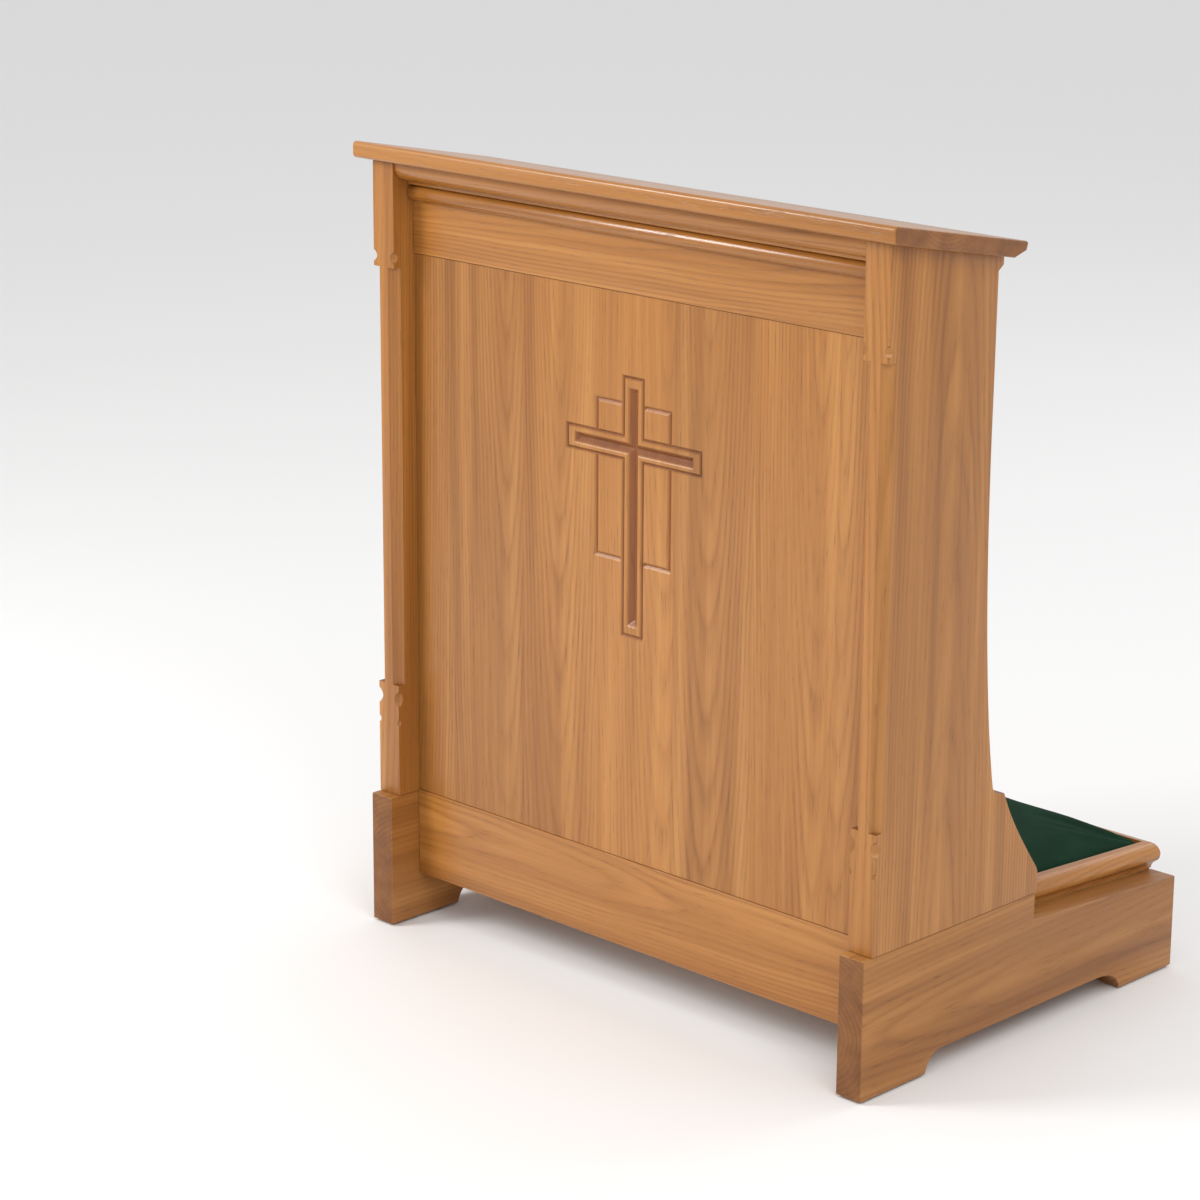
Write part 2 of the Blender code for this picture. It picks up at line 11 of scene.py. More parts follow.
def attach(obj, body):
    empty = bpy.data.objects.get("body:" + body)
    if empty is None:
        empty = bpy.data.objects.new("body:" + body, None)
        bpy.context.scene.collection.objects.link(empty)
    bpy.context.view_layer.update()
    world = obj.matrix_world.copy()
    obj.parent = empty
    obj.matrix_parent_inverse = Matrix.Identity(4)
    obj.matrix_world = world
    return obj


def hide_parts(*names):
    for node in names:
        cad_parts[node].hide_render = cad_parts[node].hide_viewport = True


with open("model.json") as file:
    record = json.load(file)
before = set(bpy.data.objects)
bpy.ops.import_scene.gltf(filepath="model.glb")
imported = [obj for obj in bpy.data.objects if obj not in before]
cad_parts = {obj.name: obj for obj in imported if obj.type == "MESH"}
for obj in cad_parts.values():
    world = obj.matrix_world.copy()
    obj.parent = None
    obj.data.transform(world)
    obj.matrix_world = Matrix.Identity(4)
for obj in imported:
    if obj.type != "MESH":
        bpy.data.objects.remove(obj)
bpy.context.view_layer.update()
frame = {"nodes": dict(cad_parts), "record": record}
scene = bpy.context.scene
nodes = frame["nodes"]

# ---------------------------------------------------------------- sizes, as the frame has them
FRONT_Y = (0.0149 - 0.5328) / 2  # front face of the uprights
HALF = 0.370
BOARD = 0.033
INNER = HALF - BOARD
GAP = 0.0003
SPAN = INNER - GAP
DESK_FRONT = 0.014
DESK_TOP_Z = 0.906
DESK_SLOPE = math.atan(0.19)
DESK_THICK = 0.018
DESK_DEPTH = 0.206
DESK_OVERHANG = 0.016
UPRIGHT_DEPTH = 0.165
UPRIGHT_EAR = 0.009
CHAMFER_TOP_Z = 0.768
CHAMFER_LOW_Z = 0.288
CHAMFER_LEG = 0.010
FOOT_LIFT = 0.0025
FOOT_PROUD = 0.013
FOOT_TOP_Z = 0.156
FOOT_STEP_Y = 0.268
FOOT_BACK_Y = 0.525
FOOT_TOE = 0.104
ARCH_Z = 0.0245
RAIL_FACE_Y = 0.029
RAIL_THICK = 0.022
PANEL_FACE_Y = 0.0305
PANEL_THICK = 0.019
BOTTOM_RAIL_Z = (0.056, 0.158)
TOP_RAIL_Z = (0.782, 0.8745)
CROSS_Z = (0.409, 0.695)
CROSS_BAR_Z = 0.6165
CROSS_SPAN = 0.199
CROSS_STEM_WIDTH = 0.033
CROSS_BAR_HEIGHT = 0.0295
RECT_X = 0.0565
RECT_Z = (0.491, 0.667)
KNEELER_SLOPE = math.atan(0.066)
KNEELER_TOP_Z = 0.1255
KNEELER_FRONT_Y = 0.190
NOSING_HEIGHT = 0.031
NOSING_REACH = 0.0065
NOSING_FOOT = 0.022
NOSING_LIP = 0.009
REBATE_V = 0.013
PAD_BOARD = 0.012
PAD_CROWN_V = 0.050
SHELF_Z = 0.765
SHELF_THICK = 0.016
SHELF_BACK_Y = 0.158
FOOT_EDGE = 0.0016  # rounding of each kind of board's edges
POST_EDGE = 0.0011
RAIL_EDGE = 0.0012
BOARD_EDGE = 0.0018
STRIP_EDGE = 0.0004
DESK_EDGE = 0.0026
SLOPE_BACK = (FOOT_BACK_Y - FOOT_STEP_Y) / math.cos(KNEELER_SLOPE)
SLOPE_FRONT = (KNEELER_FRONT_Y - FOOT_STEP_Y) / math.cos(KNEELER_SLOPE)

BODY = Matrix.Translation((0.0, FRONT_Y, 0.0))
KNEELER = (
    BODY
    @ Matrix.Translation((0.0, FOOT_STEP_Y, KNEELER_TOP_Z))
    @ Matrix.Rotation(-KNEELER_SLOPE, 4, "X")
)
DESK = (
    BODY
    @ Matrix.Translation((0.0, -DESK_FRONT, DESK_TOP_Z))
    @ Matrix.Rotation(-DESK_SLOPE, 4, "X")
)

# ---------------------------------------------------------------- camera
CAMERA_AT = Vector((2.4584, -2.5279 + FRONT_Y, 1.4592))
LOOKING = Vector((-0.6731, 0.6873, -0.2731))
CAMERA_ROLL = math.radians(0.3)
camera_data = bpy.data.cameras.new("camera")
camera = bpy.data.objects.new("camera", camera_data)
scene.collection.objects.link(camera)
camera_data.sensor_width = 36.0
camera_data.lens = 104.0
camera.location = CAMERA_AT
camera.rotation_mode = "QUATERNION"
camera.rotation_quaternion = LOOKING.to_track_quat("-Z", "Y") @ Quaternion((0, 0, 1), CAMERA_ROLL)
scene.camera = camera


# ---------------------------------------------------------------- node helpers
class Graph:
    """Short ways to add and join shader nodes."""

    def __init__(self, name):
        self.material = bpy.data.materials.new(name)
        self.material.use_nodes = True
        self.tree = self.material.node_tree
        self.shader = self.tree.nodes["Principled BSDF"]

    def node(self, kind, settings=None, inputs=None):
        made = self.tree.nodes.new(kind)
        for key, value in (settings or {}).items():
            setattr(made, key, value)
        for key, value in (inputs or {}).items():
            self.join(value, made.inputs[key])
        return made

    def join(self, value, socket):
        if isinstance(value, bpy.types.NodeSocket):
            self.tree.links.new(value, socket)
        else:
            socket.default_value = value

    def math(self, operation, *values, clamp=False):
        made = self.node("ShaderNodeMath", {"operation": operation, "use_clamp": clamp})
        for socket, value in zip(made.inputs, values):
            self.join(value, socket)
        return made.outputs[0]

    def vector(self, x, y, z):
        return self.node("ShaderNodeCombineXYZ", None, {0: x, 1: y, 2: z}).outputs[0]

    def noise(self, vector, detail=2.0, roughness=0.5, scale=1.0):
        made = self.node(
            "ShaderNodeTexNoise",
            None,
            {"Vector": vector, "Scale": scale, "Detail": detail, "Roughness": roughness},
        )
        return made.outputs["Fac"]

    def ramp(self, value, *stops):
        made = self.node("ShaderNodeValToRGB", None, {"Fac": value})
        ramp = made.color_ramp
        while len(ramp.elements) < len(stops):
            ramp.elements.new(0.5)
        for element, (position, colour) in zip(ramp.elements, stops):
            element.position = position
            element.color = (*colour, 1.0) if isinstance(colour, tuple) else (colour,) * 3 + (1.0,)
        return made.outputs["Color"]

    def span(self, value, low, high, to_low=0.0, to_high=1.0):
        made = self.node(
            "ShaderNodeMapRange",
            {"interpolation_type": "SMOOTHSTEP"},
            {"Value": value, 1: low, 2: high, 3: to_low, 4: to_high},
        )
        return made.outputs["Result"]

    def mix(self, factor, a, b, blend="MIX"):
        made = self.node("ShaderNodeMix", {"data_type": "RGBA", "blend_type": blend})
        self.join(factor, made.inputs["Factor"])
        self.join(a, made.inputs[6])
        self.join(b, made.inputs[7])
        return made.outputs[2]

    def scaled(self, colour, amount):
        grey = self.node("ShaderNodeCombineColor", None, {0: amount, 1: amount, 2: amount})
        return self.mix(1.0, colour, grey.outputs[0], "MULTIPLY")

    def stretched(self, u, v, w, per_metre, seed=None):
        """The board's own coordinates, scaled to each direction's detail per metre."""
        along = self.math("MULTIPLY", w, per_metre[2])
        if seed is not None:
            along = self.math("MULTIPLY_ADD", w, per_metre[2], seed)
        return self.vector(
            self.math("MULTIPLY", u, per_metre[0]), self.math("MULTIPLY", v, per_metre[1]), along
        )

    def object_axes(self):
        coords = self.node("ShaderNodeTexCoord").outputs["Object"]
        return self.node("ShaderNodeSeparateXYZ", None, {0: coords}).outputs

    def bump(self, height, distance, strength=1.0):
        made = self.node(
            "ShaderNodeBump", None, {"Height": height, "Distance": distance, "Strength": strength}
        )
        self.join(made.outputs["Normal"], self.shader.inputs["Normal"])


LIGHT_OAK = (0.500, 0.224, 0.056)
MID_OAK = (0.366, 0.144, 0.027)
DARK_OAK = (0.230, 0.080, 0.012)
PORE_OAK = (0.120, 0.040, 0.010)
END_TINT = (0.58, 0.52, 0.48)
# Tint for the painted shade in the panel's carved recesses
CARVING_SHADE_TINT = (0.62, 0.47, 0.40)

# Oak detail per metre across the face, into the board and along the grain
WAVE_GRAIN = (5.0, 5.0, 1.6)
RIPPLE_GRAIN = (40.0, 40.0, 7.0)
FADE_GRAIN = (14.0, 14.0, 2.4)
FIBRE_GRAIN = (260.0, 260.0, 5.0)
STREAK_GRAIN = (46.0, 46.0, 1.3)
BROAD_GRAIN = (17.0, 9.0, 0.5)
PORE_GRAIN = (900.0, 900.0, 42.0)
GLOSS_GRAIN = (9.0, 9.0, 4.0)
WAVE_REACH = 0.020  # how far the rings wander from true circles
RIPPLE_REACH = 0.0030
YEAR_VARIATION = 0.30
FIRST_PLANK = 10.0  # keeps plank numbers positive over the whole board
ONE_NUMBER = {"noise_dimensions": "1D"}


def oak(
    name,
    axes,
    centre,
    pith=(0.0, 0.05),
    tilt=0.04,
    tone=1.0,
    planks=0.0,
    seed=0.0,
    spacing=0.0034,
    gloss=0.34,
    tint=(1.0, 1.0, 1.0),
    shade_carving_from=None,
):
    """Solid oak. axes names the world axes across the face, into the board and along the grain.

    Growth rings are cones about a pith line that lies pith metres off the board's centre, so the
    flat faces show arches, the edges straight lines, and the ends arcs.
    """
    g = Graph(name)
    xyz = g.object_axes()
    across, into, along = (xyz["xyz".index(letter)] for letter in axes)
    u = g.math("SUBTRACT", across, centre[0])
    v = g.math("SUBTRACT", into, centre[1])
    w = g.math("SUBTRACT", along, centre[2])
    plank_tone = 1.0
    pith_u = pith[0]
    pith_v = pith[1]
    if planks:
        # Glued-up boards: each has its own place in the log and its own tone
        index = g.math("FLOOR", g.math("DIVIDE", g.math("ADD", u, FIRST_PLANK * planks), planks))
        chance = g.node("ShaderNodeTexWhiteNoise", ONE_NUMBER, {"W": g.math("ADD", index, seed)})
        parts = g.node("ShaderNodeSeparateColor", None, {0: chance.outputs["Color"]}).outputs
        middle = g.math("MULTIPLY", g.math("SUBTRACT", index, FIRST_PLANK - 0.5), planks)
        aside = g.math("MULTIPLY", g.math("SUBTRACT", parts[0], 0.5), 0.10)
        pith_u = g.math("ADD", middle, aside)
        pith_v = g.math("ADD", pith[1] * 0.6, g.math("MULTIPLY", parts[1], pith[1]))
        plank_tone = g.span(parts[2], 0.0, 1.0, 0.90, 1.09)
        w = g.math("ADD", w, g.math("MULTIPLY", parts[1], 0.9))
    wave = g.math("SUBTRACT", g.noise(g.stretched(u, v, w, WAVE_GRAIN, seed)), 0.5)
    ripple = g.math("SUBTRACT", g.noise(g.stretched(u, v, w, RIPPLE_GRAIN, seed)), 0.5)
    du = g.math("SUBTRACT", u, pith_u)
    dv = g.math("ADD", g.math("ADD", v, pith_v), g.math("MULTIPLY", w, tilt))
    squares = g.math("ADD", g.math("MULTIPLY", du, du), g.math("MULTIPLY", dv, dv))
    bends = g.math("MULTIPLY_ADD", wave, WAVE_REACH, g.math("MULTIPLY", ripple, RIPPLE_REACH))
    radius = g.math("ADD", g.math("SQRT", squares), bends)
    year = g.math("DIVIDE", radius, spacing)
    ring = g.math("FRACT", year)
    year_number = g.math("FLOOR", year)
    year_chance = g.node("ShaderNodeTexWhiteNoise", ONE_NUMBER, {"W": year_number})
    band = g.ramp(ring, (0.0, 0.22), (0.22, 0.50), (0.50, 0.76), (0.84, 0.68), (1.0, 0.22))
    luck = g.math("SUBTRACT", year_chance.outputs["Value"], 0.5)
    band = g.math("MULTIPLY_ADD", luck, YEAR_VARIATION, band)
    # The rings stand out in some places and fade in others
    fade = g.span(g.noise(g.stretched(u, v, w, FADE_GRAIN, seed)), 0.36, 0.64, 0.12, 0.56)
    soft_band = g.math("MULTIPLY_ADD", g.math("SUBTRACT", band, 0.55), fade, 0.50)
    # Fibres and open pores, drawn out along the grain
    fibre = g.noise(g.stretched(u, v, w, FIBRE_GRAIN), 3.0, 0.6)
    streak = g.noise(g.stretched(u, v, w, STREAK_GRAIN, seed))
    broad = g.noise(g.stretched(u, v, w, BROAD_GRAIN, seed))
    pore = g.span(g.noise(g.stretched(u, v, w, PORE_GRAIN), 1.0), 0.56, 0.70)
    early = g.span(ring, 0.55, 0.05, 0.25, 1.0)
    pore = g.math("MULTIPLY", pore, early)
    value = g.math("MULTIPLY_ADD", g.math("SUBTRACT", fibre, 0.5), 0.42, soft_band)
    value = g.math("MULTIPLY_ADD", g.math("SUBTRACT", streak, 0.5), 1.15, value)
    value = g.math("MULTIPLY_ADD", g.math("SUBTRACT", broad, 0.5), 0.70, value, clamp=True)
    colour = g.ramp(value, (0.0, DARK_OAK), (0.50, MID_OAK), (1.0, LIGHT_OAK))
    colour = g.mix(g.math("MULTIPLY", pore, 0.34), colour, (*PORE_OAK, 1.0))
    colour = g.scaled(colour, g.math("MULTIPLY", plank_tone, tone) if planks else tone)
    if tint != (1.0, 1.0, 1.0):
        colour = g.mix(1.0, colour, (*tint, 1.0), "MULTIPLY")
    if shade_carving_from is not None:
        # Painted shade: the carving's recesses are darkened in the colour
        depth = g.math("SUBTRACT", into, shade_carving_from)
        shallow = g.span(depth, 0.0075, 0.0095, 1.0, 0.0)
        carving_shade = g.math("MULTIPLY", g.span(depth, 0.0003, 0.0022), shallow)
        colour = g.mix(carving_shade, colour, g.mix(1.0, colour, (*CARVING_SHADE_TINT, 1.0), "MULTIPLY"))
    # End grain drinks more finish and reads darker
    normal = g.node("ShaderNodeNewGeometry").outputs["True Normal"]
    facing = g.node("ShaderNodeSeparateXYZ", None, {0: normal}).outputs["xyz".index(axes[2])]
    end = g.span(g.math("ABSOLUTE", facing), 0.55, 0.95)
    colour = g.mix(end, colour, g.mix(1.0, colour, (*END_TINT, 1.0), "MULTIPLY"))
    g.join(colour, g.shader.inputs["Base Color"])
    patch = g.noise(g.stretched(u, v, w, GLOSS_GRAIN))
    rough = g.math("MULTIPLY_ADD", g.math("SUBTRACT", patch, 0.5), 0.14, gloss)
    rough = g.math("ADD", rough, g.math("MULTIPLY", pore, 0.12))
    g.join(g.math("MULTIPLY_ADD", end, 0.16, rough), g.shader.inputs["Roughness"])
    height = g.math("MULTIPLY_ADD", pore, -0.7, g.math("MULTIPLY", band, 0.35))
    height = g.math("MULTIPLY_ADD", fibre, 0.25, height)
    g.bump(height, 0.00022, 0.8)
    g.shader.inputs["IOR"].default_value = 1.48
    g.shader.inputs["Coat Weight"].default_value = 0.14
    g.shader.inputs["Coat Roughness"].default_value = 0.20
    return g.material


def cloth_green():
    """Dark green woven upholstery cloth with a short nap."""
    g = Graph("green_cloth")
    x, y, z = (g.object_axes()[i] for i in range(3))
    pitch = 2 * math.pi / 0.0016
    warp = g.math("SINE", g.math("MULTIPLY", x, pitch))
    weft = g.math("SINE", g.math("MULTIPLY", y, pitch))
    weave = g.math("MULTIPLY", warp, weft)
    place = g.vector(x, y, z)
    nap = g.noise(place, 3.0, 0.65, 900.0)
    cloud = g.noise(place, 4.0, 0.6, 22.0)
    value = g.math("MULTIPLY_ADD", weave, 0.12, nap)
    value = g.math("MULTIPLY_ADD", g.math("SUBTRACT", cloud, 0.5), 0.9, value, clamp=True)
    colour = g.ramp(value, (0.15, (0.0008, 0.0130, 0.0052)), (0.9, (0.0045, 0.0420, 0.0190)))
    g.join(colour, g.shader.inputs["Base Color"])
    g.join(g.span(nap, 0.2, 0.8, 0.86, 0.98), g.shader.inputs["Roughness"])
    g.bump(g.math("MULTIPLY_ADD", weave, 0.6, nap), 0.0005, 0.7)
    g.shader.inputs["Sheen Weight"].default_value = 0.08
    g.shader.inputs["Sheen Roughness"].default_value = 0.5
    g.shader.inputs["Sheen Tint"].default_value = (0.35, 0.55, 0.42, 1.0)
    g.shader.inputs["Specular IOR Level"].default_value = 0.1
    return g.material


def ply():
    """Raw plywood: pale faces, with the layers showing at its edges."""
    g = Graph("ply")
    x, y, z = (g.object_axes()[i] for i in range(3))
    level = g.math("ADD", z, g.math("MULTIPLY", y, math.tan(KNEELER_SLOPE)))
    layer = g.span(g.math("SINE", g.math("MULTIPLY", level, 2 * math.pi / 0.004)), -0.4, 0.4)
    grain = g.noise(g.vector(g.math("MULTIPLY", x, 6.0), g.math("MULTIPLY", y, 140.0), z), 3.0)
    face = g.ramp(grain, (0.25, (0.42, 0.27, 0.15)), (0.75, (0.62, 0.45, 0.28)))
    edge = g.mix(layer, (0.33, 0.20, 0.11, 1.0), (0.60, 0.44, 0.28, 1.0))
    normal = g.node("ShaderNodeNewGeometry").outputs["True Normal"]
    up = g.node("ShaderNodeSeparateXYZ", None, {0: normal}).outputs[2]
    flat = g.span(g.math("ABSOLUTE", up), 0.5, 0.9)
    g.join(g.mix(flat, edge, face), g.shader.inputs["Base Color"])
    g.join(g.span(grain, 0.2, 0.8, 0.55, 0.75), g.shader.inputs["Roughness"])
    g.bump(grain, 0.0003, 0.5)
    return g.material


def zinc():
    """Yellow-passivated zinc plate, slightly cloudy."""
    g = Graph("zinc_plate")
    place = g.vector(*(g.object_axes()[i] for i in range(3)))
    cloud = g.noise(place, 3.0, 0.6, 420.0)
    g.join(
        g.ramp(cloud, (0.3, (0.42, 0.36, 0.20)), (0.7, (0.62, 0.55, 0.34))),
        g.shader.inputs["Base Color"],
    )
    g.join(g.span(cloud, 0.3, 0.7, 0.28, 0.46), g.shader.inputs["Roughness"])
    g.bump(cloud, 0.0001, 0.3)
    g.shader.inputs["Metallic"].default_value = 1.0
    return g.material


def nylon():
    """Moulded off-white nylon."""
    g = Graph("nylon")
    place = g.vector(*(g.object_axes()[i] for i in range(3)))
    speck = g.noise(place, 2.0, 0.5, 700.0)
    g.join(
        g.ramp(speck, (0.3, (0.50, 0.47, 0.42)), (0.7, (0.60, 0.57, 0.52))),
        g.shader.inputs["Base Color"],
    )
    g.join(g.span(speck, 0.3, 0.7, 0.45, 0.6), g.shader.inputs["Roughness"])
    g.bump(speck, 0.0001, 0.4)
    return g.material


# ---------------------------------------------------------------- mesh helpers
def finish_mesh(piece, angle=32.0):
    """Applies a piece's modifiers and shades it smooth between its sharp edges."""
    bpy.context.view_layer.update()
    graph = bpy.context.evaluated_depsgraph_get()
    mesh = bpy.data.meshes.new_from_object(piece.evaluated_get(graph))
    piece.modifiers.clear()
    piece.data = mesh
    mesh.shade_smooth()
    mesh.set_sharp_from_angle(angle=math.radians(angle))
    return piece


def new_piece(name, bm, place=BODY):
    """A mesh object whose vertices are placed in the world and whose origin stays at zero."""
    bmesh.ops.recalc_face_normals(bm, faces=bm.faces)
    bmesh.ops.transform(bm, matrix=place, verts=bm.verts)
    mesh = bpy.data.meshes.new(name)
    bm.to_mesh(mesh)
    bm.free()
    piece = bpy.data.objects.new(name, mesh)
    scene.collection.objects.link(piece)
    return piece


def prism(name, outline, low, high, plane, place=BODY):
    """An outline extruded from low to high. Plane YZ runs along X, and plane XZ along Y."""
    bm = bmesh.new()
    rings = []
    for t in (low, high):
        at = [(t, a, b) if plane == "YZ" else (a, t, b) for a, b in outline]
        rings.append([bm.verts.new(p) for p in at])
    count = len(outline)
    bm.faces.new(rings[0])
    bm.faces.new(rings[1][::-1])
    for i in range(count):
        j = (i + 1) % count
        bm.faces.new((rings[0][i], rings[0][j], rings[1][j], rings[1][i]))
    return new_piece(name, bm, place)


def block(name, low, high, place=BODY):
    """A plain box between two corners."""
    outline = [(low[1], low[2]), (high[1], low[2]), (high[1], high[2]), (low[1], high[2])]
    return prism(name, outline, low[0], high[0], "YZ", place)


def soften(piece, width, segments=3, angle=30.0):
    """Rounds a piece's sharp edges."""
    bevel = piece.modifiers.new("soft_edges", "BEVEL")
    bevel.width = width
    bevel.segments = segments
    bevel.limit_method = "ANGLE"
    bevel.angle_limit = math.radians(angle)
    bevel.profile = 0.6
    return piece


def grid_rim(grid):
    """The vertices round the outside of a grid, in order."""
    right = [row[-1] for row in grid[1:]]
    left = [row[0] for row in grid[-2:0:-1]]
    return grid[0] + right + grid[-1][-2::-1] + left


def cut(piece, tools):
    """Takes each tool out of a piece, then removes the tools."""
    for tool in tools:
        boolean = piece.modifiers.new(tool.name, "BOOLEAN")
        boolean.operation = "DIFFERENCE"
        boolean.solver = "EXACT"
        boolean.object = tool
    finish_mesh(piece)
    for tool in tools:
        bpy.data.objects.remove(tool, do_unlink=True)
    return piece


def bezier(p0, p1, p2, p3, steps):
    """Points on a cubic curve, without its last one."""
    p0, p1, p2, p3 = map(Vector, (p0, p1, p2, p3))
    found = []
    for i in range(steps):
        t = i / steps
        u = 1.0 - t
        found.append(tuple(u**3 * p0 + 3 * u * u * t * p1 + 3 * u * t * t * p2 + t**3 * p3))
    return found


def arc(centre, radius, start, end, steps):
    """Points on an arc, angles in degrees, both ends included."""
    turns = [math.radians(start + (end - start) * i / steps) for i in range(steps + 1)]
    return [(centre[0] + radius * math.cos(t), centre[1] + radius * math.sin(t)) for t in turns]


def desk_under_z(y):
    """Height of the desk top's underside at a distance behind the uprights' front."""
    level_thick = DESK_THICK / math.cos(DESK_SLOPE)
    return DESK_TOP_Z - (y + DESK_FRONT) * math.tan(DESK_SLOPE) - level_thick


def keep(piece, material, slot, *replaced):
    """Gives a finished piece its material and its place in the frame."""
    piece.data.materials.clear()
    piece.data.materials.append(material)
    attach(piece, "root")
    if replaced:
        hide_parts(*replaced)
    return piece


# ---------------------------------------------------------------- foot boards and uprights
def foot_outline():
    """Side view of a foot board."""
    toe_front = FOOT_TOE - FOOT_PROUD
    toe_back = FOOT_BACK_Y - 0.097
    back_z = KNEELER_TOP_Z - (FOOT_BACK_Y - FOOT_STEP_Y) * math.tan(KNEELER_SLOPE)
    points = [(-FOOT_PROUD, FOOT_LIFT), (-FOOT_PROUD, FOOT_TOP_Z), (FOOT_STEP_Y, FOOT_TOP_Z)]
    points += [(FOOT_STEP_Y, KNEELER_TOP_Z), (FOOT_BACK_Y, back_z)]
    points += [(FOOT_BACK_Y, FOOT_LIFT), (toe_back, FOOT_LIFT)]
    points += bezier(
        (toe_back - 0.001, FOOT_LIFT + 0.004),
        (toe_back - 0.006, ARCH_Z - 0.006),
        (toe_back - 0.020, ARCH_Z),
        (toe_back - 0.042, ARCH_Z),
        14,
    )
    points += [(toe_back - 0.042, ARCH_Z), (toe_front + 0.032, ARCH_Z)]
    points += bezier(
        (toe_front + 0.026, ARCH_Z),
        (toe_front + 0.014, ARCH_Z - 0.001),
        (toe_front + 0.006, ARCH_Z - 0.007),
        (toe_front + 0.002, FOOT_LIFT + 0.005),
        14,
    )
    points.append((toe_front, FOOT_LIFT))
    return points


def upright_outline():
    """Side view of an upright: sloping head with a back ear, and a flared foot with a cusp."""
    ear_y = UPRIGHT_DEPTH + UPRIGHT_EAR
    base = FOOT_TOP_Z + GAP
    points = [(0.0, base), (0.0, desk_under_z(0.0) - GAP), (ear_y, desk_under_z(ear_y) - GAP)]
    points += [(ear_y, 0.8435), (UPRIGHT_DEPTH + 0.0012, 0.838)]
    points += bezier(
        (UPRIGHT_DEPTH, 0.700), (UPRIGHT_DEPTH - 0.002, 0.560), (0.168, 0.400), (0.188, 0.294), 26
    )
    points += bezier((0.188, 0.294), (0.190, 0.286), (0.196, 0.284), (0.208, 0.283), 6)
    points += bezier((0.208, 0.283), (0.220, 0.252), (0.240, 0.224), (0.268, 0.186), 16)
    points += bezier((0.268, 0.186), (0.272, 0.180), (0.273, 0.168), (0.268, base), 6)
    points.append((0.268, base))
    return points


def turned_box(name, x, z_low, z_high, side):
    """A square bar on its corner, standing along a vertical edge at x."""
    bm = bmesh.new()
    bmesh.ops.create_cube(bm, size=1.0)
    bmesh.ops.scale(bm, vec=(side, side, z_high - z_low), verts=bm.verts)
    bmesh.ops.rotate(bm, matrix=Matrix.Rotation(math.radians(45), 3, "Z"), verts=bm.verts)
    bmesh.ops.translate(bm, vec=(x, 0.0, (z_low + z_high) / 2), verts=bm.verts)
    return new_piece(name, bm)


def scoop(name, x, into, z, radius, depth):
    """A round cutter across a vertical edge, whose bottom lies depth under the edge."""
    bm = bmesh.new()
    bmesh.ops.create_cone(
        bm, cap_ends=True, segments=48, radius1=radius, radius2=radius, depth=0.05
    )
    lay = Matrix.Rotation(math.radians(90), 3, "X")
    turn = Matrix.Rotation(math.radians(-45 if into < 0 else 45), 3, "Z")
    bmesh.ops.rotate(bm, matrix=turn @ lay, verts=bm.verts)
    offset = (radius - depth) / math.sqrt(2)
    bmesh.ops.translate(bm, vec=(x - into * offset, -offset, z), verts=bm.verts)
    return new_piece(name, bm)


def chamfer_tools(tag, edge_x, into):
    """One stopped chamfer: the long flat, and the scooped stops at its ends."""
    width = CHAMFER_LEG * math.sqrt(2)
    tools = [turned_box(tag + "_flat", edge_x, CHAMFER_LOW_Z, CHAMFER_TOP_Z, width)]
    for mark, z, radius, depth in (
        ("top", CHAMFER_TOP_Z + 0.0115, 0.0075, 0.0042),
        ("low", CHAMFER_LOW_Z - 0.0165, 0.012, 0.0048),
        ("nick", CHAMFER_LOW_Z - 0.0450, 0.0055, 0.0024),
    ):
        tools.append(scoop(f"{tag}_{mark}", edge_x, into, z, radius, depth))
    return tools


for side, sign in (("left", -1), ("right", 1)):
    low_x, high_x = sorted((sign * HALF, sign * INNER))
    board_x = sign * (HALF - BOARD / 2)
    foot = prism(f"foot_board_{side}", foot_outline(), low_x, high_x, "YZ")
    finish_mesh(soften(foot, FOOT_EDGE))
    foot_oak = oak(
        f"oak_foot_{side}", "zxy", (0.075, board_x, FRONT_Y + 0.26), (-0.012, sign * 0.030),
        -0.030 * sign, 0.92, seed=3.0 + sign, spacing=0.0056, gloss=0.46,
    )
    keep(foot, foot_oak, "oak_frame", f"{side}_foot_board")
    post = prism(f"upright_{side}", upright_outline(), low_x, high_x, "YZ")
    finish_mesh(soften(post, POST_EDGE))
    tools = []
    for place, x in (("outer", sign * HALF), ("inner", sign * INNER)):
        tools += chamfer_tools(f"{side}_{place}", x, -1 if x > board_x else 1)
    cut(post, tools)
    post_oak = oak(
        f"oak_upright_{side}", "yxz", (FRONT_Y + 0.09, board_x, 0.5), (0.02, sign * 0.055),
        0.028 * sign, 1.02, seed=11.0 + sign, spacing=0.0040,
    )
    keep(post, post_oak, "oak_frame", f"{side}_upright")

# ---------------------------------------------------------------- front frame
RAIL_OAK = {"pith": (0.02, 0.07), "tilt": 0.02}
for name, (low_z, high_z), tone, seed in (
    ("bottom_rail", BOTTOM_RAIL_Z, 1.03, 21.0),
    ("top_rail", TOP_RAIL_Z, 1.0, 23.0),
):
    low = (-SPAN, RAIL_FACE_Y, low_z + GAP)
    high = (SPAN, RAIL_FACE_Y + RAIL_THICK, high_z - GAP)
    rail = finish_mesh(soften(block(name + "_board", low, high), RAIL_EDGE))
    centre = ((low_z + high_z) / 2, FRONT_Y + 0.04, 0.0)
    rail_oak = oak("oak_" + name, "zyx", centre, tone=tone, seed=seed, **RAIL_OAK)
    keep(rail, rail_oak, "oak_panel", name)


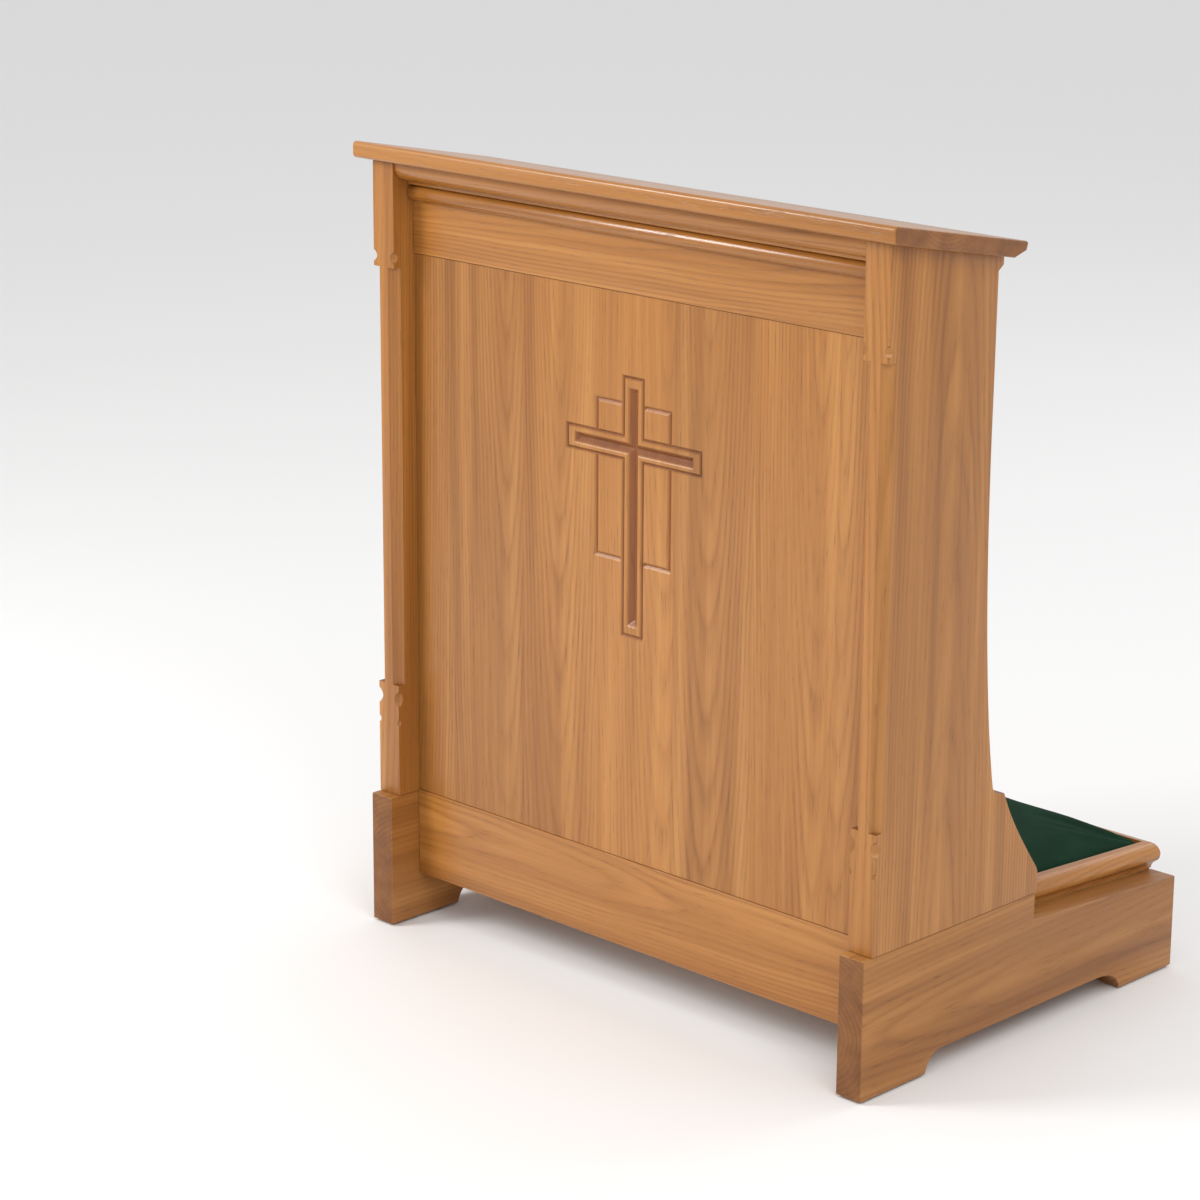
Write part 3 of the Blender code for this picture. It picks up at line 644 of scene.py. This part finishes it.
def carved_depth(x, z):
    """How deep the carving goes at a point of the panel's face."""
    fine, fine_half = 0.0024, 0.0024
    stem, arm = CROSS_STEM_WIDTH / 2, CROSS_SPAN / 2
    low, high = CROSS_BAR_Z - CROSS_BAR_HEIGHT / 2, CROSS_BAR_Z + CROSS_BAR_HEIGHT / 2
    in_stem = min(stem - abs(x), CROSS_Z[1] - z, z - CROSS_Z[0])
    in_arm = min(arm - abs(x), high - z, z - low)
    inside = max(in_stem, in_arm)  # distance in from the cross's edge
    depth = fine * max(0.0, 1.0 - abs(inside - fine_half) / fine_half)
    if inside < 0.0:
        # The rectangle, where the cross leaves it showing
        in_rect = min(RECT_X - abs(x), RECT_Z[1] - z, z - RECT_Z[0])
        depth = max(depth, fine * 0.9 * max(0.0, 1.0 - abs(in_rect - 0.0032) / 0.0032))
    wide_half, end = 0.0076, 0.0125
    stem_v = min(wide_half - abs(x), CROSS_Z[1] - end - z, z - CROSS_Z[0] - end)
    arm_v = min(0.0064 - abs(z - CROSS_BAR_Z), arm - end - abs(x))
    return max(depth, 0.80 * stem_v, 0.92 * arm_v, 0.0)


def panel_lines(low, high, marks, step):
    """Grid lines over a range: fine steps near each mark, and none elsewhere."""
    lines = {low, high}
    for a, b in marks:
        count = max(1, round((b - a) / step))
        lines.update(round(a + (b - a) * i / count, 6) for i in range(count + 1))
    return sorted(lines)


def carved_panel():
    """The panel: a gridded face that follows the carving, closed by its edges and back."""
    step = 0.0008
    stem, arm, rect = CROSS_STEM_WIDTH / 2, CROSS_SPAN / 2, RECT_X
    x_marks = [(-stem - step, stem + step)]
    for side in (-1, 1):
        for a, b in ((arm - 0.0200, arm + step), (rect - 0.0072, rect + step)):
            x_marks.append((min(side * a, side * b), max(side * a, side * b)))
    z_marks = [
        (CROSS_Z[0] - step, CROSS_Z[0] + 0.021),
        (CROSS_Z[1] - 0.021, CROSS_Z[1] + step),
        (CROSS_BAR_Z - 0.0156, CROSS_BAR_Z + 0.0156),
        (RECT_Z[0] - step, RECT_Z[0] + 0.0072),
        (RECT_Z[1] - 0.0072, RECT_Z[1] + step),
    ]
    xs = panel_lines(-SPAN, SPAN, x_marks, step)
    zs = panel_lines(BOTTOM_RAIL_Z[1] + GAP, TOP_RAIL_Z[0] - GAP, z_marks, step)
    bm = bmesh.new()
    face = [[bm.verts.new((x, PANEL_FACE_Y + carved_depth(x, z), z)) for x in xs] for z in zs]
    for j in range(len(zs) - 1):
        for i in range(len(xs) - 1):
            bm.faces.new((face[j][i], face[j][i + 1], face[j + 1][i + 1], face[j + 1][i]))
    rim = grid_rim(face)
    back = [bm.verts.new((v.co.x, PANEL_FACE_Y + PANEL_THICK, v.co.z)) for v in rim]
    for i in range(len(rim)):
        j = (i + 1) % len(rim)
        bm.faces.new((rim[i], back[i], back[j], rim[j]))
    bm.faces.new(back)
    panel = new_piece("carved_panel", bm)
    panel.data.shade_smooth()
    panel.data.set_sharp_from_angle(angle=math.radians(18))
    return panel


# The panel's carving gets painted shade darkening its recesses
panel_oak = oak(
    "oak_panel", "xyz", (-0.052, FRONT_Y + 0.04, 0.42), (0.0, 0.060), -0.055, 0.97,
    planks=0.112, seed=5.0, spacing=0.0046, shade_carving_from=FRONT_Y + PANEL_FACE_Y,
)
keep(carved_panel(), panel_oak, "oak_panel", "front_panel")

# ---------------------------------------------------------------- crown and desk
crown = [(y, desk_under_z(y) - GAP) for y in (RAIL_FACE_Y - GAP, 0.002)]
crown += bezier((0.002, 0.8800), (0.0025, 0.871), (0.009, 0.8645), (0.0195, 0.8635), 16)
crown += [(0.0195, 0.8635), (0.0195, 0.8605), (0.0235, 0.8590), (RAIL_FACE_Y - GAP, 0.8590)]
bead = arc((RAIL_FACE_Y - GAP, 0.8497), 0.0089, 90, 270, 24)
for name, outline, tone, seed in (
    ("crown_moulding", crown, 1.04, 31.0),
    ("crown_bead", bead, 1.0, 33.0),
):
    strip = prism(name + "_strip", outline, -SPAN, SPAN, "YZ")
    finish_mesh(soften(strip, STRIP_EDGE, 2, 50.0), 40.0)
    strip_oak = oak(
        "oak_" + name, "zyx", (0.86, FRONT_Y + 0.02, 0.0), (0.03, 0.09), 0.015, tone,
        seed=seed, gloss=0.22,
    )
    keep(strip, strip_oak, "oak_moulding", name)

slope_depth = DESK_DEPTH / math.cos(DESK_SLOPE)
nose = 0.0045
plumb = (DESK_THICK - 2 * nose) * math.tan(DESK_SLOPE)
board = arc((nose, -nose), nose, 90, 180, 8)
board += arc((nose + plumb, -DESK_THICK + nose), nose, 180, 270, 8)
board += [(slope_depth - 0.018, -DESK_THICK), (slope_depth - 0.001, -DESK_THICK + 0.0085)]
board += arc((slope_depth - 0.003, -0.003), 0.003, 0, 90, 6)
desk_half = HALF + DESK_OVERHANG
desk_top = prism("desk_board", board, -desk_half, desk_half, "YZ", DESK)
finish_mesh(soften(desk_top, DESK_EDGE, 4, 60.0))
desk_oak = oak(
    "oak_desk", "yzx", (FRONT_Y + 0.09, 0.88, 0.05), (0.0, -0.065), 0.030, 1.06,
    planks=0.104, seed=41.0, spacing=0.0042, gloss=0.30,
)
keep(desk_top, desk_oak, "oak_moulding", "desk_top")

# ---------------------------------------------------------------- boards on the kneeler's side
APRON_BACK_Y = 0.160
apron_top = desk_under_z(APRON_BACK_Y)
inner_boards = (
    ("book_shelf", (0.0525, SHELF_Z - SHELF_THICK), (SHELF_BACK_Y, SHELF_Z), BODY, "yzx"),
    (
        "shelf_ledge",
        (SHELF_BACK_Y - 0.016, SHELF_Z + GAP),
        (SHELF_BACK_Y - 0.004, SHELF_Z + 0.012),
        BODY,
        "zyx",
    ),
    (
        "desk_rear_apron",
        (APRON_BACK_Y - 0.018, apron_top - 0.034),
        (APRON_BACK_Y, apron_top - GAP),
        BODY,
        "zyx",
    ),
    (
        "kneeler_front_rail",
        (SLOPE_FRONT - 0.020 - GAP, -0.060),
        (SLOPE_FRONT - GAP, NOSING_HEIGHT),
        KNEELER,
        "zyx",
    ),
    (
        "kneeler_rear_rail",
        (SLOPE_BACK - 0.021, -0.072),
        (SLOPE_BACK - 0.001, 0.0009),
        KNEELER,
        "zyx",
    ),
)
for index, (name, low_yz, high_yz, place, axes) in enumerate(inner_boards):
    low = (-SPAN, *low_yz)
    high = (SPAN, *high_yz)
    plank = finish_mesh(soften(block(name + "_board", low, high, place), BOARD_EDGE))
    middle = place @ ((Vector(low) + Vector(high)) / 2)
    letters = dict(zip("xyz", middle))
    plank_oak = oak(
        "oak_" + name, axes, tuple(letters[a] for a in axes), (0.01, 0.06), 0.03,
        0.98 + 0.015 * index, seed=50.0 + 2 * index,
    )
    keep(plank, plank_oak, "oak_frame", name)


# ---------------------------------------------------------------- kneeler nosings
def nosing_profile():
    """Section of the moulded edge: distance out from the foot board's inner plane, and height."""
    points = [(-NOSING_FOOT, 0.0012), (0.0, 0.0012)]
    points += bezier((0.0, 0.0025), (0.0003, 0.0070), (0.0030, 0.0090), (0.0050, 0.0105), 8)
    points += bezier((0.0050, 0.0105), (0.0072, 0.0140), (0.0072, 0.0200), (0.0050, 0.0240), 12)
    points += bezier((0.0050, 0.0240), (0.0030, 0.0280), (0.0005, 0.0305), (-0.0030, 0.0310), 8)
    points += [(-0.0030, NOSING_HEIGHT), (-NOSING_LIP, NOSING_HEIGHT)]
    points += [(-NOSING_LIP, REBATE_V), (-NOSING_FOOT, REBATE_V)]
    return points


def mitre_block(name, sign, flip, offset):
    """A large block with one face on the mitre plane at a back corner."""
    reach = 0.080
    bm = bmesh.new()
    bmesh.ops.create_cube(bm, size=2 * reach)
    bmesh.ops.translate(bm, vec=(0.0, reach + offset, 0.0), verts=bm.verts)
    turn = Matrix.Rotation(math.radians(45 * sign + flip), 3, "Z")
    bmesh.ops.rotate(bm, matrix=turn, verts=bm.verts)
    bmesh.ops.translate(bm, vec=(sign * INNER, SLOPE_BACK, 0.015), verts=bm.verts)
    return new_piece(name, bm, KNEELER)


section = nosing_profile()
far_y = SLOPE_BACK + NOSING_REACH + 0.004
for side, sign in (("left", -1), ("right", 1)):
    outline = [(sign * (INNER + x), z) for x, z in section]
    strip = prism(f"nosing_{side}_strip", outline, SLOPE_FRONT, far_y, "XZ", KNEELER)
    clear = block(
        f"scribe_{side}",
        (min(sign * SPAN, sign * 0.36), SLOPE_FRONT - 0.01, -0.01),
        (max(sign * SPAN, sign * 0.36), 0.0045, 0.06),
        KNEELER,
    )
    cut(strip, [mitre_block(f"mitre_{side}", sign, 0, -GAP / 2), clear])
    strip_oak = oak(
        f"oak_nosing_{side}", "zxy", (0.14, sign * INNER, FRONT_Y + 0.4), (0.02, 0.08), 0.02, 1.05,
        seed=61.0 + sign, gloss=0.28,
    )
    keep(strip, strip_oak, "oak_moulding", f"nosing_{side}")
rear = prism(
    "nosing_rear_strip",
    [(x + SLOPE_BACK, z) for x, z in section],
    -INNER - NOSING_REACH - 0.004,
    INNER + NOSING_REACH + 0.004,
    "YZ",
    KNEELER,
)
cut(rear, [mitre_block(f"mitre_rear_{sign}", sign, 180, -GAP / 2) for sign in (-1, 1)])
rear_oak = oak(
    "oak_nosing_rear", "zyx", (0.12, FRONT_Y + 0.52, 0.0), (0.02, 0.08), 0.02, 1.04,
    seed=67.0, gloss=0.28,
)
keep(rear, rear_oak, "oak_moulding", "nosing_rear")


# ---------------------------------------------------------------- pad
PAD_LOW = REBATE_V + PAD_BOARD + GAP
PAD_X = INNER - NOSING_LIP - GAP - 0.0008
PAD_Y = (SLOPE_FRONT + 0.0012, SLOPE_BACK - NOSING_LIP - GAP - 0.0008)
PAD_MIDDLE = (PAD_Y[0] + PAD_Y[1]) / 2
PAD_HALF_Y = (PAD_Y[1] - PAD_Y[0]) / 2
PAD_RIM = 0.0052  # height of the pad's sides before it crowns


def pad_height(x, y):
    """Height of the crowned top above the pad board, before the stuffing swells it."""
    across = max(0.0, 1.0 - abs(x / PAD_X) ** 3.0)
    deep = max(0.0, 1.0 - abs((y - PAD_MIDDLE) / PAD_HALF_Y) ** 7.0)
    crown = PAD_CROWN_V - 0.0035 - PAD_LOW - PAD_RIM
    return PAD_RIM + crown * (across * deep) ** 0.5


def pad_mesh():
    """A closed, crowned slab that fits inside the nosings' lips."""
    columns, rows = 56, 30
    bm = bmesh.new()
    layers = []
    for top in (False, True):
        grid = []
        for j in range(rows + 1):
            y = PAD_MIDDLE + PAD_HALF_Y * math.sin(math.pi * (j / rows - 0.5))
            line = []
            for i in range(columns + 1):
                x = PAD_X * math.sin(math.pi * (i / columns - 0.5))
                height = pad_height(x, y) if top else 0.0
                line.append(bm.verts.new((x, y, PAD_LOW + height)))
            grid.append(line)
        layers.append(grid)
    for grid in layers:
        for j in range(rows):
            for i in range(columns):
                bm.faces.new((grid[j][i], grid[j][i + 1], grid[j + 1][i + 1], grid[j + 1][i]))
    low_rim, high_rim = (grid_rim(grid) for grid in layers)
    for i in range(len(low_rim)):
        j = (i + 1) % len(low_rim)
        bm.faces.new((low_rim[i], low_rim[j], high_rim[j], high_rim[i]))
    return new_piece("pad", bm, KNEELER)


def swell(piece, frames=20, most=0.005):
    """Lets pressure puff the covered pad out, then keeps each point near where it began."""
    remesh = piece.modifiers.new("even_mesh", "REMESH")
    remesh.mode = "VOXEL"
    remesh.voxel_size = 0.0052
    finish_mesh(piece, 180.0)
    start = [v.co.copy() for v in piece.data.vertices]
    into = KNEELER.inverted()
    group = piece.vertex_groups.new(name="glued")
    glued = [v.index for v in piece.data.vertices if (into @ v.co).z < PAD_LOW + 0.0030]
    group.add(glued, 1.0, "REPLACE")
    cloth = piece.modifiers.new("stuffing", "CLOTH")
    cloth.settings.quality = 6
    cloth.settings.mass = 0.25
    cloth.settings.tension_stiffness = 25
    cloth.settings.compression_stiffness = 25
    cloth.settings.shear_stiffness = 10
    cloth.settings.bending_stiffness = 1.5
    cloth.settings.use_pressure = True
    cloth.settings.uniform_pressure_force = 4.0
    cloth.settings.vertex_group_mass = "glued"
    cloth.settings.effector_weights.gravity = 0.0
    cloth.collision_settings.use_collision = False
    for number in range(1, frames + 1):
        scene.frame_set(number)
    finish_mesh(piece, 180.0)
    scene.frame_set(1)
    for vertex, origin in zip(piece.data.vertices, start):
        move = vertex.co - origin
        if move.length > most:
            move *= most / move.length
        local = into @ (origin + move)
        local.x = min(max(local.x, -PAD_X), PAD_X)
        local.y = min(max(local.y, PAD_Y[0]), PAD_Y[1])
        local.z = max(local.z, PAD_LOW)
        vertex.co = KNEELER @ local
    return piece


pad = pad_mesh()
swell(pad)
smooth = pad.modifiers.new("smooth", "SUBSURF")
smooth.levels = 1
smooth.render_levels = 1
pad.data.shade_smooth()
keep(pad, cloth_green(), "green_fabric", "kneeler_pad")

# ---------------------------------------------------------------- finishes for the kept CAD pieces
raw_oaks = {}


def raw_oak(axes):
    """Unfinished oak for hidden cleats, battens and dowels, one for each grain direction."""
    if axes not in raw_oaks:
        raw_oaks[axes] = oak(
            "oak_raw_" + axes, axes, (0.0, 0.0, 0.0), (0.03, 0.09), 0.02, 1.10, seed=80.0,
            gloss=0.55, tint=(0.95, 1.10, 1.35),
        )
    return raw_oaks[axes]


plain = {"plywood": ply(), "screw_steel": zinc(), "nylon_glide": nylon()}
slots = {part["node"]: part["material_slot"] for part in frame["record"]["subparts"]}
for name, node in nodes.items():
    slot = slots[name]
    if slot in plain:
        finish = plain[slot]
    elif "dowel" in name or "batten" in name:
        finish = raw_oak("xyz")
    else:
        finish = raw_oak("zxy")
    if slot in plain or slot == "oak_inside":
        node.data.materials.clear()
        node.data.materials.append(finish)

# ---------------------------------------------------------------- floor, light, world
bpy.ops.mesh.primitive_plane_add(size=30.0, location=(0.0, 0.0, -0.0001))
floor = bpy.context.object
floor.name = "floor"
g = Graph("pale_floor")
g.shader.inputs["Base Color"].default_value = (0.86, 0.86, 0.86, 1.0)
g.shader.inputs["Roughness"].default_value = 0.8
floor.data.materials.append(g.material)

world = bpy.data.worlds.new("studio")
scene.world = world
world.use_nodes = True
world.node_tree.nodes["Background"].inputs[0].default_value = (1.0, 1.0, 1.0, 1.0)
world.node_tree.nodes["Background"].inputs[1].default_value = 0.80


def softbox(name, place, aim, size, power, colour=(1.0, 1.0, 1.0)):
    """A square area light turned towards a point."""
    data = bpy.data.lights.new(name, "AREA")
    data.shape = "SQUARE"
    data.size = size
    data.energy = power
    data.color = colour
    lamp = bpy.data.objects.new(name, data)
    scene.collection.objects.link(lamp)
    lamp.location = place
    lamp.rotation_euler = (Vector(aim) - Vector(place)).to_track_quat("-Z", "Y").to_euler()


softbox("key", (-1.55, -2.1, 1.9), (0.0, 0.0, 0.5), 0.9, 44.0, (1.0, 0.985, 0.96))
softbox("fill", (2.3, -1.3, 2.5), (0.0, 0.0, 0.6), 1.6, 30.0)
softbox("back", (0.8, 3.4, 2.6), (0.0, 0.0, 0.5), 2.4, 26.0)

scene.view_settings.view_transform = "Standard"
